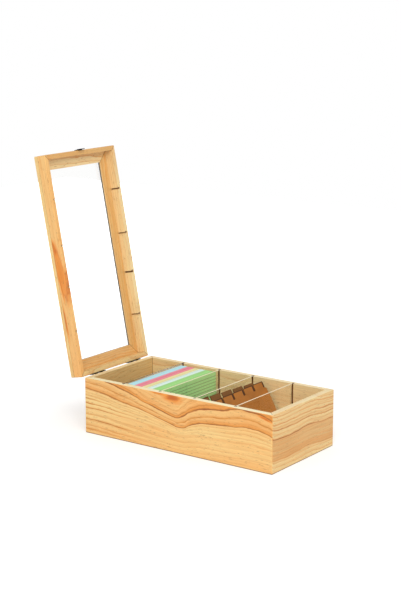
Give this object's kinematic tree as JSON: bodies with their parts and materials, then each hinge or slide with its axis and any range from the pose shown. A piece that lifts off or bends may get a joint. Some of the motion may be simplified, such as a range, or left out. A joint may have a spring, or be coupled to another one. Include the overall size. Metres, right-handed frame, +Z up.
{
  "type": "recipe card box",
  "caption": "Long wooden card box with a framed window lid on butt hinges, clear dividers in grooves, packs of ruled cards and leaning tabbed guide cards.",
  "frame": {"origin": "middle of the flat underside of the box", "axes": "+Z up; +X along the length, from the hinged end to the free end; +Y across, from the front long side to the back one; stored with the lid open"},
  "size_m": [0.4098, 0.156, 0.3994],
  "materials": {
    "pine": "satin clear varnish on pale pine",
    "clear_acrylic": "clear polished acrylic sheet",
    "dark_metal": "dark antique bronze plating",
    "screw_metal": "dark antique bronze plating on steel",
    "kraft_board": "uncoated brown kraft board",
    "blue_card": "uncoated card, ruled",
    "pink_card": "uncoated card, ruled",
    "yellow_card": "uncoated card, ruled",
    "white_card": "uncoated card, ruled",
    "green_card": "uncoated card, ruled"
  },
  "bodies": {
    "box": {"back_hinge_body_leaf": "dark_metal", "back_hinge_pin": "dark_metal", "back_wall": "pine", "body_leaf_screws": "screw_metal", "bottom_panel": "pine", "free_end_wall": "pine", "front_hinge_body_leaf": "dark_metal", "front_hinge_pin": "dark_metal", "front_wall": "pine", "hinge_end_wall": "pine"},
    "lid": {"back_hinge_lid_leaf": "dark_metal", "front_hinge_lid_leaf": "dark_metal", "lid_back_frame": "pine", "lid_back_rim": "pine", "lid_free_frame": "pine", "lid_free_rim": "pine", "lid_front_frame": "pine", "lid_front_rim": "pine", "lid_hinge_frame": "pine", "lid_hinge_rim": "pine", "lid_leaf_screws": "screw_metal", "lid_window": "clear_acrylic", "lift_tab": "dark_metal", "lift_tab_screws": "screw_metal"},
    "divider_1": {"divider_1": "clear_acrylic"},
    "divider_2": {"divider_2": "clear_acrylic"},
    "divider_3": {"divider_3": "clear_acrylic"},
    "divider_4": {"divider_4": "clear_acrylic"},
    "blue_card_pack": {"blue_card_pack": "blue_card"},
    "pink_card_pack": {"pink_card_pack": "pink_card"},
    "yellow_card_pack": {"yellow_card_pack": "yellow_card"},
    "white_card_pack": {"white_card_pack": "white_card"},
    "green_card_pack": {"green_card_pack": "green_card"},
    "tab_guides": {"tab_guide_1": "kraft_board", "tab_guide_10": "kraft_board", "tab_guide_2": "kraft_board", "tab_guide_3": "kraft_board", "tab_guide_4": "kraft_board", "tab_guide_5": "kraft_board", "tab_guide_6": "kraft_board", "tab_guide_7": "kraft_board", "tab_guide_8": "kraft_board", "tab_guide_9": "kraft_board"}
  },
  "joints": [
    {"name": "lid_hinge", "type": "hinge", "parent": "box", "child": "lid", "pos_m": [-0.1632, 0, 0.0794], "axis": [0, 1, 0], "range_deg": [0, 101.15]},
    {"name": "divider_1_lift", "type": "slide", "parent": "box", "child": "divider_1", "axis": [0, 0, -1], "range_m": [-0.085, 0]},
    {"name": "divider_2_lift", "type": "slide", "parent": "box", "child": "divider_2", "axis": [0, 0, -1], "range_m": [-0.085, 0]},
    {"name": "divider_3_lift", "type": "slide", "parent": "box", "child": "divider_3", "axis": [0, 0, -1], "range_m": [-0.085, 0]},
    {"name": "divider_4_lift", "type": "slide", "parent": "box", "child": "divider_4", "axis": [0, 0, -1], "range_m": [-0.085, 0]},
    {"name": "blue_cards_lift", "type": "slide", "parent": "box", "child": "blue_card_pack", "axis": [0, 0, -1], "range_m": [-0.085, 0]},
    {"name": "pink_cards_lift", "type": "slide", "parent": "box", "child": "pink_card_pack", "axis": [0, 0, -1], "range_m": [-0.085, 0]},
    {"name": "yellow_cards_lift", "type": "slide", "parent": "box", "child": "yellow_card_pack", "axis": [0, 0, -1], "range_m": [-0.085, 0]},
    {"name": "white_cards_lift", "type": "slide", "parent": "box", "child": "white_card_pack", "axis": [0, 0, -1], "range_m": [-0.085, 0]},
    {"name": "green_cards_lift", "type": "slide", "parent": "box", "child": "green_card_pack", "axis": [0, 0, -1], "range_m": [-0.085, 0]},
    {"name": "tab_guides_lift", "type": "slide", "parent": "box", "child": "tab_guides", "axis": [0, 0, -1], "range_m": [-0.085, 0]}
  ]
}
